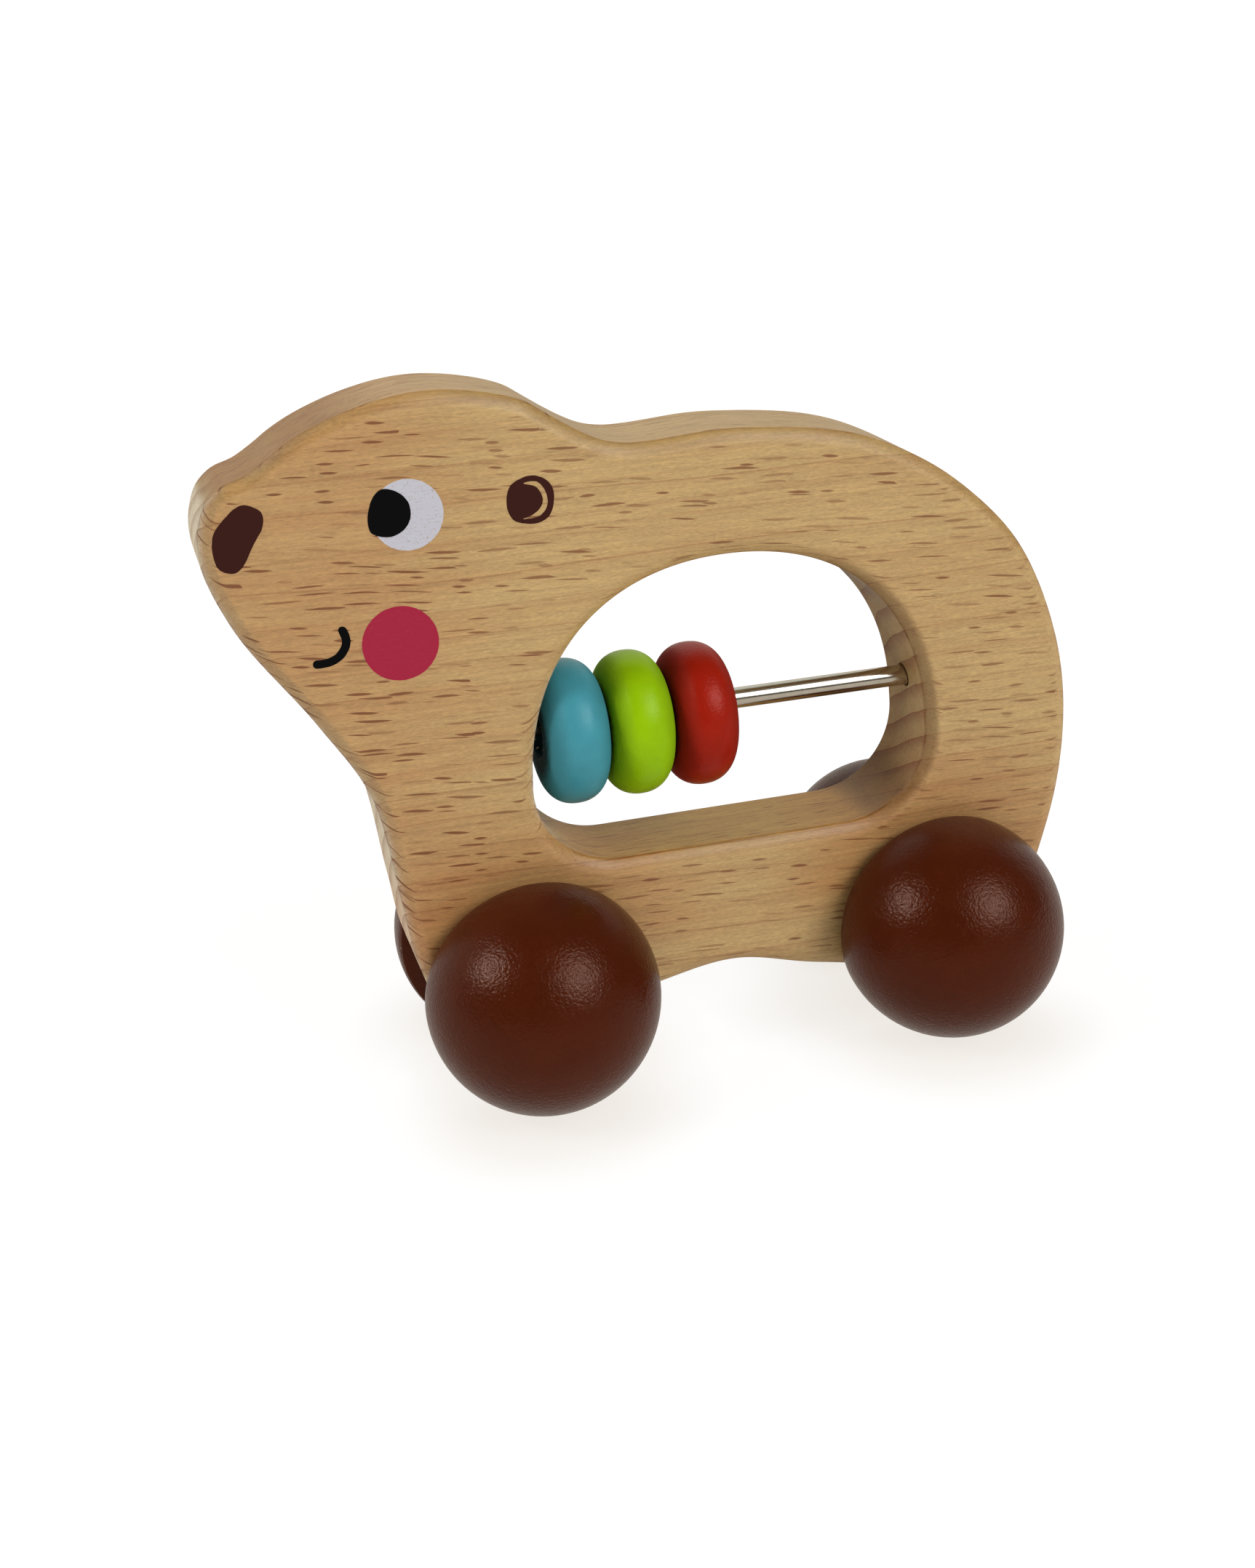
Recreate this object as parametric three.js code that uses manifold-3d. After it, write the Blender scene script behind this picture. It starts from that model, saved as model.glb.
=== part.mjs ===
// A wooden push-along bear: a beech slab on four ball wheels, with three beads on a rod in its grip window.
// Millimetres, +Z up. The snout points to -X and the wheels turn about Y. The bear's left side is -Y.
// The slab is drawn from the middle of the wheelbase (x) and from the line of the axles (z).
import * as THREE from 'three';
import { mergeVertices } from 'three/addons/utils/BufferGeometryUtils.js';
import Module from 'manifold-3d';

const wasm = await Module();
wasm.setup();

// Slab
const BODY_THICKNESS = 16;
const EDGE_ROUND_WIDTH = 2.5; // how far the rounded edge reaches in over the side
const EDGE_ROUND_DEPTH = 1.2; // and how far down the rim

// Wheels and axles
const WHEELBASE = 65.6;
const BALL_DIAMETER = 35;
const BALL_FLAT_INSET = 3; // from the ball's centre to the flat cut that faces the slab
const FLAT_RIM_ROUND = 0.8;
const WHEEL_GAP = 1.8; // between the slab's side and the ball's flat
const AXLE_DIAMETER = 6;
const AXLE_SEAT = 12; // how deep the axle goes into each ball
const AXLE_CLEARANCE = 0.5; // radial, in the slab's bore

// Grip window
const WINDOW_WIDTH = 62;
const WINDOW_HEIGHT = 45;
const WINDOW_FLOOR = 17.5; // above the axles
const WINDOW_CORNER = 13;
const WINDOW_CROWN = 0.62; // how full the arch is: 0.55 is a plain ellipse

// Rod, its plug and the beads
const ROD_DIAMETER = 3.2;
const ROD_ABOVE_FLOOR = 20.2;
const ROD_SEAT = 10; // how deep the rod goes into the front wall
const PLUG_DIAMETER = 6;
const PLUG_LENGTH = 9;
const BEAD_DIAMETER = 21.8;
const BEAD_WIDTH = 9.6;
const BEAD_ROUND = 4;
const BEAD_BORE = 6.6;
const BEAD_NAMES = ['blue_bead', 'green_bead', 'red_bead']; // from the front

// Gaps
const FIT_GAP = 0.3; // between pieces that are glued or pressed together
const REST_GAP = 0.3; // between pieces that only touch

// The bear's outline, in landmarks of [along, up], clockwise from the snout.
const HEAD_HEIGHT = 90.3; // crown above the axles
const BACK_HEIGHT = 80.8; // withers above the axles

// Along from the front axle, up from the crown
const HEAD = {
  snoutTip: [-42.0, -18.5],
  noseTop: [-39.6, -11.4],
  muzzleDip: [-34.3, -8.9],
  brow: [-27.6, -4.6],
  forehead: [-18.0, -1.1],
  crown: [-8.5, 0],
  headBack: [3.2, -2.4],
  poll: [9.0, -6.1],
  nape: [16.3, -9.7],
};
// Along from the middle of the wheelbase, up from the withers
const BACK = { withers: [1.0, 0] };
// Along from the rear axle, up from the withers
const LOIN = {
  loin: [-15.0, -2.1],
  croup: [-5.5, -5.8],
  hip: [3.6, -11.7],
  rumpTop: [13.4, -22.0],
};
// Along from the rear axle, up from the axles
const RUMP = {
  tail: [20.0, 43.5],
  rump: [21.9, 29.0],
  thigh: [19.7, 12.5],
  heel: [12.2, -4.8],
  rearSole: [1.5, -9.0],
};
// Along from the middle of the wheelbase, up from the axles
const BELLY = {
  bellyRear: [13.0, -5.8],
  bellyTop: [-0.8, -2.6],
  bellyFront: [-14.0, -4.5],
};
// Along from the front axle, up from the axles
const CHEST = {
  frontSole: [-1.5, -9.0],
  toe: [-12.6, -4.5],
  shin: [-17.0, 4.9],
  breast: [-18.9, 16.0],
  throat: [-21.8, 32.9],
  jaw: [-28.3, 44.7],
  chin: [-38.6, 60.5],
};

// Facets
const OUTLINE_STEPS = 120;
const WINDOW_STEPS = 12; // on each side of the arch
const ROUND_STEPS = 3;
const BALL_SIDES = 32;
const BALL_STEPS = 8;
const BEAD_SIDES = 32;
const BEAD_STEPS = 2; // an arc takes twice as many
const PIN_SIDES = 24;
const STOP_STEPS = 40; // heights at which a bead is set against the wall
const TOLERANCE = 1e-4; // vertices nearer than this are one

const FINISH = {
  beech: { color: 0xc8a273, roughness: 0.55, metalness: 0 },
  steel: { color: 0xc9c6bf, roughness: 0.2, metalness: 1 },
  brown: { color: 0x50230f, roughness: 0.4, metalness: 0 },
  blue_bead: { color: 0x4f97a5, roughness: 0.4, metalness: 0 },
  green_bead: { color: 0x96bd06, roughness: 0.4, metalness: 0 },
  red_bead: { color: 0xa32414, roughness: 0.4, metalness: 0 },
};

// Sizes that follow from those above
const ballRadius = BALL_DIAMETER / 2;
const axleRadius = AXLE_DIAMETER / 2;
const rodRadius = ROD_DIAMETER / 2;
const beadRadius = BEAD_DIAMETER / 2;
const frontAxle = -WHEELBASE / 2;
const rearAxle = WHEELBASE / 2;
const rodHeight = WINDOW_FLOOR + ROD_ABOVE_FLOOR;
const beadHeight = rodHeight - (BEAD_BORE / 2 - rodRadius - REST_GAP); // beads hang on the rod
const wheelCentre = BODY_THICKNESS / 2 + WHEEL_GAP + BALL_FLAT_INSET;
const axleLength = BODY_THICKNESS + 2 * (WHEEL_GAP + AXLE_SEAT - FIT_GAP);

const outline = outlinePoints();
const gripWindow = windowPoints();
const [frontWall] = crossings(gripWindow, rodHeight);
const rumpFace = crossings(outline, rodHeight).pop();

// Points of the closed outline, as [x, z] in a Vector2.
function outlinePoints() {
  const from = (start, base, marks) => Object.values(marks).map(
    ([along, up]) => new THREE.Vector3(start + along, base + up, 0),
  );
  const marks = [
    ...from(frontAxle, HEAD_HEIGHT, HEAD),
    ...from(0, BACK_HEIGHT, BACK),
    ...from(rearAxle, BACK_HEIGHT, LOIN),
    ...from(rearAxle, 0, RUMP),
    ...from(0, 0, BELLY),
    ...from(frontAxle, 0, CHEST),
  ];
  const curve = new THREE.CatmullRomCurve3(marks, true, 'centripetal');
  const points = curve.getSpacedPoints(OUTLINE_STEPS).slice(0, -1);
  return points.map((point) => new THREE.Vector2(point.x, point.y));
}

// Points of the window: a straight floor, round lower corners and a full arch over them.
function windowPoints() {
  const half = WINDOW_WIDTH / 2;
  const floor = WINDOW_FLOOR;
  const spring = floor + WINDOW_CORNER; // where the arch starts
  const top = floor + WINDOW_HEIGHT;
  const shoulder = spring + WINDOW_CROWN * (top - spring);
  const crown = WINDOW_CROWN * half;
  const path = new THREE.Path();
  path.moveTo(WINDOW_CORNER - half, floor);
  path.lineTo(half - WINDOW_CORNER, floor);
  path.absarc(half - WINDOW_CORNER, spring, WINDOW_CORNER, -Math.PI / 2, 0);
  path.bezierCurveTo(half, shoulder, crown, top, 0, top);
  path.bezierCurveTo(-crown, top, -half, shoulder, -half, spring);
  path.absarc(WINDOW_CORNER - half, spring, WINDOW_CORNER, Math.PI, Math.PI * 1.5);
  return path.getPoints(WINDOW_STEPS).slice(0, -1);
}

// Where a closed run of points crosses a height, from the front to the rear.
function crossings(points, height) {
  const found = [];
  points.forEach((point, i) => {
    const next = points[(i + 1) % points.length];
    if (point.y > height !== next.y > height) {
      const share = (height - point.y) / (next.y - point.y);
      found.push(point.x + share * (next.x - point.x));
    }
  });
  return found.sort((a, b) => a - b);
}

// The place of the first bead's front face when the bead rests on the window's front wall.
function beadStop() {
  let stop = -Infinity;
  for (let step = -STOP_STEPS; step <= STOP_STEPS; step += 1) {
    const reach = (step / STOP_STEPS) * beadRadius;
    const pastFlat = Math.max(0, Math.abs(reach) - (beadRadius - BEAD_ROUND));
    const roundedOff = BEAD_ROUND - Math.sqrt(BEAD_ROUND ** 2 - pastFlat ** 2);
    const [wall] = crossings(gripWindow, beadHeight + reach);
    stop = Math.max(stop, wall - roundedOff);
  }
  return stop + REST_GAP;
}

// A closed geometry as a solid that can be cut and joined.
function toSolid(geometry) {
  const bare = geometry.clone();
  bare.deleteAttribute('normal');
  bare.deleteAttribute('uv');
  const merged = mergeVertices(bare, TOLERANCE);
  return new wasm.Manifold(new wasm.Mesh({
    numProp: 3,
    vertProperties: new Float32Array(merged.attributes.position.array),
    triVerts: new Uint32Array(merged.index.array),
  }));
}

function toGeometry(solid) {
  const mesh = solid.getMesh();
  const geometry = new THREE.BufferGeometry();
  geometry.setAttribute('position', new THREE.BufferAttribute(mesh.vertProperties, 3));
  geometry.setIndex(new THREE.BufferAttribute(mesh.triVerts, 1));
  geometry.computeVertexNormals();
  return geometry;
}

// A round bar along X between two places, at the rod's height.
function barAlongX(radius, start, end) {
  const bar = new THREE.CylinderGeometry(radius, radius, end - start, PIN_SIDES);
  bar.rotateZ(Math.PI / 2);
  bar.translate((start + end) / 2, 0, rodHeight);
  return bar;
}

// The slab before it is drilled: the outline less the window, rounded over along every edge.
function slabBlank() {
  const shape = new THREE.Shape(outline);
  shape.holes.push(new THREE.Path(gripWindow));
  const depth = BODY_THICKNESS - 2 * EDGE_ROUND_DEPTH;
  const slab = new THREE.ExtrudeGeometry(shape, {
    depth,
    bevelThickness: EDGE_ROUND_DEPTH,
    bevelSize: EDGE_ROUND_WIDTH,
    bevelOffset: -EDGE_ROUND_WIDTH,
    bevelSegments: ROUND_STEPS,
  });
  slab.translate(0, 0, -depth / 2);
  slab.rotateX(Math.PI / 2);
  return toSolid(slab);
}

function axleBore(x) {
  const radius = axleRadius + AXLE_CLEARANCE;
  const bore = new THREE.CylinderGeometry(radius, radius, 2 * BODY_THICKNESS, PIN_SIDES);
  bore.translate(x, 0, 0);
  return toSolid(bore);
}

// A ball cut flat on its inner side, +Y, and bored blind there for the axle.
function ballWheel() {
  const boreRadius = axleRadius + FIT_GAP;
  const boreEnd = BALL_FLAT_INSET - AXLE_SEAT;
  const rimRadius = Math.sqrt(ballRadius ** 2 - BALL_FLAT_INSET ** 2);
  const rimFoot = BALL_FLAT_INSET - FLAT_RIM_ROUND;
  const profile = [];
  for (let step = 0; step <= BALL_STEPS; step += 1) {
    const turn = (Math.PI / 2) * (1 - step / BALL_STEPS);
    profile.push(new THREE.Vector2(ballRadius * Math.cos(turn), -ballRadius * Math.sin(turn)));
  }
  profile[0].x = 0; // the pole is exactly on the axis
  profile.push(
    new THREE.Vector2(Math.sqrt(ballRadius ** 2 - rimFoot ** 2), rimFoot),
    new THREE.Vector2(rimRadius - FLAT_RIM_ROUND, BALL_FLAT_INSET),
    new THREE.Vector2(boreRadius, BALL_FLAT_INSET),
    new THREE.Vector2(boreRadius, boreEnd),
    new THREE.Vector2(0, boreEnd),
  );
  return new THREE.LatheGeometry(profile, BALL_SIDES);
}

// A turned bead about X, with round rims and a loose bore.
function bead() {
  const half = BEAD_WIDTH / 2;
  const bore = BEAD_BORE / 2;
  const profile = new THREE.Path();
  profile.moveTo(bore, -half);
  profile.lineTo(beadRadius - BEAD_ROUND, -half);
  profile.absarc(beadRadius - BEAD_ROUND, BEAD_ROUND - half, BEAD_ROUND, -Math.PI / 2, 0);
  profile.absarc(beadRadius - BEAD_ROUND, half - BEAD_ROUND, BEAD_ROUND, 0, Math.PI / 2);
  profile.lineTo(bore, half);
  profile.lineTo(bore, -half);
  const turned = new THREE.LatheGeometry(profile.getPoints(BEAD_STEPS), BEAD_SIDES);
  return turned.rotateZ(-Math.PI / 2);
}

const toy = new THREE.Group();

function add(name, finish, geometry, x = 0, y = 0, z = 0) {
  const mesh = new THREE.Mesh(geometry, new THREE.MeshStandardMaterial(FINISH[finish]));
  mesh.name = name;
  mesh.position.set(x, y, z);
  toy.add(mesh);
  return mesh;
}

// Slab, rod and plug. The rod goes in through the rump, and the plug closes its bore.
const blank = slabBlank();
const rodStart = frontWall - ROD_SEAT;
const plugInner = rumpFace - PLUG_LENGTH;
const pastRump = rumpFace + PLUG_LENGTH;
const rodBore = toSolid(barAlongX(rodRadius + FIT_GAP, rodStart - FIT_GAP, plugInner));
const plugBore = toSolid(barAlongX(PLUG_DIAMETER / 2 + FIT_GAP, plugInner - FIT_GAP, pastRump));
const drilled = [axleBore(frontAxle), axleBore(rearAxle), rodBore, plugBore]
  .reduce((slab, bore) => slab.subtract(bore), blank);
const plug = blank.intersect(toSolid(barAlongX(PLUG_DIAMETER / 2, plugInner, pastRump)));
add('body', 'beech', toGeometry(drilled));
add('bead_rod', 'steel', barAlongX(rodRadius, rodStart, plugInner - FIT_GAP));
add('rod_plug', 'beech', toGeometry(plug));

// Wheels, each pair glued to its axle
for (const [end, x] of [['front', frontAxle], ['rear', rearAxle]]) {
  const axle = new THREE.CylinderGeometry(axleRadius, axleRadius, axleLength, PIN_SIDES);
  add(`${end}_axle`, 'beech', axle, x);
  add(`${end}_left_wheel`, 'brown', ballWheel(), x, -wheelCentre);
  add(`${end}_right_wheel`, 'brown', ballWheel(), x, wheelCentre).rotation.z = Math.PI;
}

// Beads, pushed to the front of the window
BEAD_NAMES.forEach((name, place) => {
  const centre = beadStop() + BEAD_WIDTH / 2 + place * (BEAD_WIDTH + REST_GAP);
  add(name, name, bead(), centre, 0, beadHeight);
});

// The origin is on the floor under the middle of the toy.
const extent = new THREE.Box3().setFromObject(toy);
toy.position.set(-(extent.min.x + extent.max.x) / 2, 0, ballRadius);

export default toy;
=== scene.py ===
"""Looks of the push-along bear: a beech slab with a printed face, ball wheels, and beads on a rod.

Metres, +Z up, the snout towards -X, the bear's left side at -Y. Sizes named below are in millimetres.
A pair named as a reach, level, facing or spread is the stretch over which an effect sets in or fades.
"""
import math
from functools import reduce
from operator import mul

import bpy
import numpy as np
from mathutils import Matrix, Vector
from mathutils.geometry import delaunay_2d_cdt


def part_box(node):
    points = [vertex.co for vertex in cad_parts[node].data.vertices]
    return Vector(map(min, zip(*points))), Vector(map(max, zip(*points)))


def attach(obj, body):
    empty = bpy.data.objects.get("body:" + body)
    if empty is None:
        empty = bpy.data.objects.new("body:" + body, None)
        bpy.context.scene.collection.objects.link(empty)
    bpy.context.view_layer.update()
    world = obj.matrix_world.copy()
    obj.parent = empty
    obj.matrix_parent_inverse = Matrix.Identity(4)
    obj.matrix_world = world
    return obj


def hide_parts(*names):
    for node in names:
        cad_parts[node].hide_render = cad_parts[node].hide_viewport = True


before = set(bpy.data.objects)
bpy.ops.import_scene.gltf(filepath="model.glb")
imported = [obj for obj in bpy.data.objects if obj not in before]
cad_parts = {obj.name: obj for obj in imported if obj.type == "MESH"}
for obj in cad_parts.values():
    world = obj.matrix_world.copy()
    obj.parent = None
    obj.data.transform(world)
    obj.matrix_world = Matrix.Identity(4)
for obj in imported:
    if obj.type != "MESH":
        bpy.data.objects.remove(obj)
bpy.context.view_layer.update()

MM = 0.001
X, Y, Z = Vector((1, 0, 0)), Vector((0, 1, 0)), Vector((0, 0, 1))

# Camera, fitted to the photograph's perspective
IMAGE_HEIGHT = 2156
CAMERA_PLACE = (-79.33, -270.66, 157.72)
CAMERA_TURN = (70.15, 2.45, -16.39)  # degrees
CAMERA_CLIP = (0.01, 50)  # metres
FOCAL_LENGTH = 2740.8  # in pixels
AXIS_ABOVE_CENTRE = 108  # pixels from the frame's centre up to the optical axis
SENSOR = 36

# Light: each panel's direction from the middle of the toy, distance and width in metres, power, colour
TOY_MIDDLE = (0, 0, 50)
PANELS = {
    "left_panel": ((-0.804, -0.089, 0.581), 0.7, 0.38, 2.3, (1.0, 1.0, 1.0)),
    "right_panel": ((0.438, -0.686, 0.583), 2.1, 1.92, 28.8, (1.0, 1.0, 1.0)),
    "top_panel": ((0.10, 0.60, 0.85), 0.9, 1.30, 1.15, (0.90, 1.0, 0.96)),
}
PANEL_PEAK = 4.24  # of a panel that fades to its edge, for the same power as an even one
AMBIENT = 0.19
DARK_ROOM = 0.03  # what gloss shows above and in front of the toy, away from the white backdrop
BACKDROP = 0.70  # what gloss shows behind it
BACKDROP_FRONT = (-0.05, 0.45)  # how far a ray leans to the rear where the backdrop begins
BACKDROP_TOP = (0.45, 0.85)  # and up where it ends
GLOSS_TINT = (1.0, 0.91, 0.80, 1.0)
FLOOR_SIZE = 6000
FLOOR_BOUNCE = (0.90, 0.86, 0.80, 1.0)
FLOOR_LIFT = 0.16  # light that the floor sends up even in the toy's shadow
FLOOR_GLOW = (0.95, 1.0)  # under the toy, and away from it
FLOOR_GLOW_REACH = (60, 260)
FLOOR_GLOSS = 0.60
FLOOR_TINT = (1.0, 0.993, 0.985, 1.0)
FLOOR_SHADE = 0.10  # how much of the light the shadow can take away
CONTACT_SHADOW_TINT = (0.86, 0.82, 0.77, 1.0)  # painted shadow: the floor's tint close under the wheels
CONTACT_REACH = 15
CONTACT_SKY = (0.35, 1.0)  # share of the sky that the floor sees, under a wheel and away from it
CONTACT_SAMPLES = 4

# Slab
SLAB_HALF = 8.0
EDGE_WIDTH = 2.5  # of the rounded edge, over the side
EDGE_DEPTH = 1.2  # and down the rim
EDGE_FULLNESS = 2.0  # 1 is a plain chamfer, 2 is an arc
EDGE_STEPS = 9
CREASE_SOFT = 0.22  # how far the crease between rounded edge and rim is sanded off
CREASE_STEPS = 4
RIM_TOLERANCE = 0.02  # within which a CAD corner counts as lying on the crease
LOOP_STEP = 0.8
LOOP_MARKS = 3.2  # between the marks added on long straight runs
BORE_RADIUS = 3.5
BORE_SIDES = 48
ROD_FIT = 0.3
SHARP = math.radians(40)
FLAT_WEIGHT = 100  # of large faces in the slab's shading, where 50 is even
CUT_TOLERANCE = 1e-6

# Turned pieces
BALL_SIDES = 96
BALL_STEPS = 36
BALL_RADIUS = 17.5
BALL_FLAT = 3.0  # from the ball's centre to its flat
BALL_FLAT_ROUND = 0.8
BALL_CORNER = (0.15, 0.2)  # how far that rounding takes off the rim, and off the flat
AXLE_SEAT = 12.0
AXLE_FIT = 0.3
SEAT_CHAMFER = 0.4
BEAD_SIDES = 96
BEAD_STEPS = 28
BEAD_BORE = 3.3
BEAD_BORE_ROUND = 0.5
BEAD_BORE_STEPS = 5
BEAD_FLAT = 5.6  # radius to which a bead's sides are flat
BEAD_FULLNESS = 2.25  # 2 is an ellipse, more is squarer
PIN_SIDES = 48
PIN_CHAMFER = 0.4
LATHE_WELD = 0.001

# Beech. A noise along the grain is given by its waves per millimetre along and across it.
BEECH_COLOURS = {
    "Ground": (189, 157, 104),
    "Blush": (181, 140, 90),
    "Sapwood": (228, 218, 194),
    "Late Wood": (146, 96, 56),
    "Ray": (126, 76, 40),
}
BEECH_SPECULAR = 0.5
BEECH_RELIEF = 0.02
BEECH_HEIGHT_SPREAD = (0.2, 0.8)
BEECH_SATIN = (0.46, 0.38)  # in the hollows and on the heights
END_FACING = (0.45, 0.95)  # how squarely a surface faces along the grain, where it shows end grain
END_SATIN = 0.25
END_SHADE = 0.86
RING_TILT = 31.8  # degrees that the slab's rings lean, seen along the grain
PLUG_RING_TILT = 70
RING_SPACING = 3.7
RING_SWAY = {"along": 0.008, "across": 0.03, "detail": 1.0}
RING_SWAY_DEPTH = 9.0
RING_RIPPLE = {"along": 0.04, "across": 0.15}
RING_RIPPLE_DEPTH = 0.8
LATE_BAND = (0.35, 0.97)  # shares of a year: the wood darkens,
LATE_LINE = (0.90, 0.955)  # ends in a thin line,
YEAR_END = (0.96, 0.99)  # and starts pale again
LATE_LINE_STRENGTH = (0.15, 0.50)
LATE_DARK = 0.75
SIDE_BAND, SAP_BAND = 0.14, 0.55  # strength of the bands on a side, and on sapwood's end grain
RAY_CELL = (6.0, 0.72)  # room for one ray, along the grain and along the rings
RAY_HALF_LENGTH = (1.1, 3.2)
RAY_HALF_WIDTH = (0.06, 0.12)
RAY_BORDER = (-0.025, 0.03)
RAY_LEAN = -0.047
RAY_BEND = {"along": 0.05, "across": 0.10}
RAY_BEND_DEPTH = 1.2
RAY_FAINTEST, RAY_STRONGEST = 0.05, 0.95
RAY_IN_HEART = (0.95, 1.45)  # its strength where there is least and most heartwood
RAY_PLATE_FACING = (0.88, 0.95)  # of a surface that runs along the rays' plates, and shows no dashes
RAY_CORNER_FACING = (0.08, 0.40)
RAY_ON_CORNER = (0.15, 1.0)  # its strength there, without and with sapwood
RAY_END_FACING = (0.75, 0.97)
RAY_ON_END = 0.25
RAY_RELIEF = -0.25
FIBRE = {"along": 0.12, "across": 2.8, "detail": 4.0, "roughness": 0.65}
FIBRE_SHADE, FIBRE_RELIEF = 0.66, 0.6
PORE = {"along": 1.1, "across": 6.5, "detail": 3.0, "roughness": 0.7}
PORE_SHADE, PORE_RELIEF = 0.95, 0.3
TONE = {"along": 0.03, "across": 0.35, "detail": 3.0}
TONE_SPREAD = (0.36, 0.64)
TONE_BLUSH = (-0.25, 0.25)
STREAK = {"along": 0.014, "across": 0.9}
STREAK_SPREAD = (0.56, 0.72)
STREAK_DARK = 0.22

# Growth of the slab, and painted shade on it
HEART_REACH = (-46, -18)  # the wood is redder in front of this stretch of the slab
HEART_LEAST, HEART_MOST = 0.1, 0.9
SAP_REACH = (-12, -4)  # its end grain is paler in front of this one
SAP_MOST = 0.8
CREASE_REACH = (0.05, 0.30)
CREASE_WEAR = 0.25  # waves per millimetre
CREASE_WEAR_SPREAD = (0.3, 0.7)
CREASE_DARK = 0.5
RIM_FACING = (0.35, 0.60)  # how squarely a surface faces sideways, on the rim and off it
WINDOW_FLOOR_LEVEL = (40, 46)  # up to which painted shade darkens and yellows the window's floor
WINDOW_FLOOR_FACING = (0.4, 0.9)
WINDOW_FLOOR_SHADE_TINT = (0.95, 0.85, 0.50, 1.0)
REAR_EDGE_REACH = (0, 10)  # painted shade on the rounded edge at the window's rear, behind this stretch
REAR_EDGE_FACING = (-0.45, -0.08)
REAR_WALL_FACING = (-0.95, -0.70)  # facing of the wall inside that edge, which has no such painted shade
REAR_EDGE_SHADE_TINT = (0.58, 0.54, 0.50, 1.0)
TOP_EDGE_FACING = (0.22, 0.40)
TOP_EDGE_SHADE_TINT = (0.87, 0.82, 0.69, 1.0)  # of the painted shade on the rounded edges that face up, where the lamps light them more
BACK_START, BACK_END = (-36, -26), (28, 38)  # between these stretches the painted shade is deeper, along the back
BACK_LEVEL = (84, 90)
BACK_EDGE_SHADE_TINT = (0.89, 0.86, 0.72, 1.0)
FRONT_REACH = (-44, -38)  # painted shade makes the rounded edge greyer in front of this stretch, where it faces forward
FRONT_FACING = (-0.35, -0.15)
FRONT_EDGE_SHADE_TINT = (0.81, 0.87, 0.97, 1.0)
BROW_REACH = (-48, -36)  # painted shade darkens the rim over the snout in front of this stretch, where it faces up
BROW_FACING = (0.45, 0.70)
BROW_SHADE_TINT = (0.71, 0.61, 0.45, 1.0)
WHEEL_SHADE_REACH = (19, 33)  # from an axle out to where the warm painted shade, as from the brown wheels' bounce light, ends
WHEEL_SHADE_LEVEL = (19, 26)  # the painted shade is on the wood above the axles
WHEEL_SHADE_TINT = (0.94, 0.79, 0.71, 1.0)

# Paints. Waves and specks are per millimetre.
BROWN_PAINT = (70, 25, 7)
BALL_LACQUER = {"specular": 0.21, "satin": 0.23, "relief": 0.16}
BEAD_PAINTS = {"blue_bead": (66, 144, 158), "green_bead": (142, 186, 2), "red_bead": (152, 26, 8)}
BEAD_LACQUER = {"specular": 0.22, "satin": 0.32, "relief": 0.09}
GLEAM_HUE = 0.52  # how far a lacquer's gleam takes on the hue of its paint
FLOW_SIZE, FLOW_SHADE, FLOW_SATIN, FLOW_RELIEF = 1.6, 0.16, 0.14, 0.35
STIPPLE_SIZE, STIPPLE_RELIEF = 0.42, 0.65
CLOUD_WAVES, CLOUD_SHADE = 0.12, 0.30
DUST_SPECKS = 0.35
DUST_CHANCE = (0.80, 1.0)
DUST_REACH, DUST_BORDER, DUST_SHARE = 0.05, 0.02, 0.45
DUST_COLOUR = (225, 215, 205)
# Painted shade on a bead's sides, darkest near the bore
BEAD_SIDE_SHADE = (0.17, 0.43)  # of the thickness, from the middle: painted shade darkens a bead's sides over this stretch
SIDE_SHADE_FADE = (-0.4, 2.2)  # from the edge of the flat outwards
SIDE_SHADE_STRENGTH = (0.85, 0.20)
SIDE_SHADE_COLOUR = (14, 14, 13)
SIDE_SHADE_ROUGHNESS = 0.5
RAGGED = {"scale": 0.9, "detail": 3.0}
RAGGED_DEPTH = 2.2
CHIP = {"scale": 2.4, "detail": 3.0}
CHIP_SPREAD = (0.62, 0.66)
CHIP_REACH = (0.4, 0.8)  # from the bore outwards
CHIP_COLOUR = (214, 200, 180)

# Nickel
NICKEL_TONES = ((190, 184, 170), (215, 210, 198))
NICKEL_HAZE = 0.6  # waves per millimetre
NICKEL_LINES = {"along": 0.02, "across": 4.0}
NICKEL_SPREAD = (0.3, 0.7)
NICKEL_POLISH = (0.16, 0.22)

# Inks: colour, and how worn they are
INKS = {
    "brown": ((58, 28, 24), 0.0),
    "white": ((193, 193, 203), 0.75),
    "black": ((9, 9, 11), 0.0),
    "pink": ((161, 40, 65), 0.05),
}
INK_SPECULAR = 0.05
INK_MOTTLE = {"scale": 3.6, "detail": 3.0, "roughness": 0.7}
INK_MOTTLE_SPREAD = (0.3, 0.7)
INK_SHADE = 0.10
INK_SATIN = (0.50, 0.62)
INK_RELIEF = 0.006
INK_FIBRE = {"along": 0.6, "across": 4.0, "detail": 3.0}
INK_FIBRE_SHARE = 0.6
INK_WEAR_SPREAD = (0.82, 1.05)
INK_WORN_COLOUR = (160, 140, 125)

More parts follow.
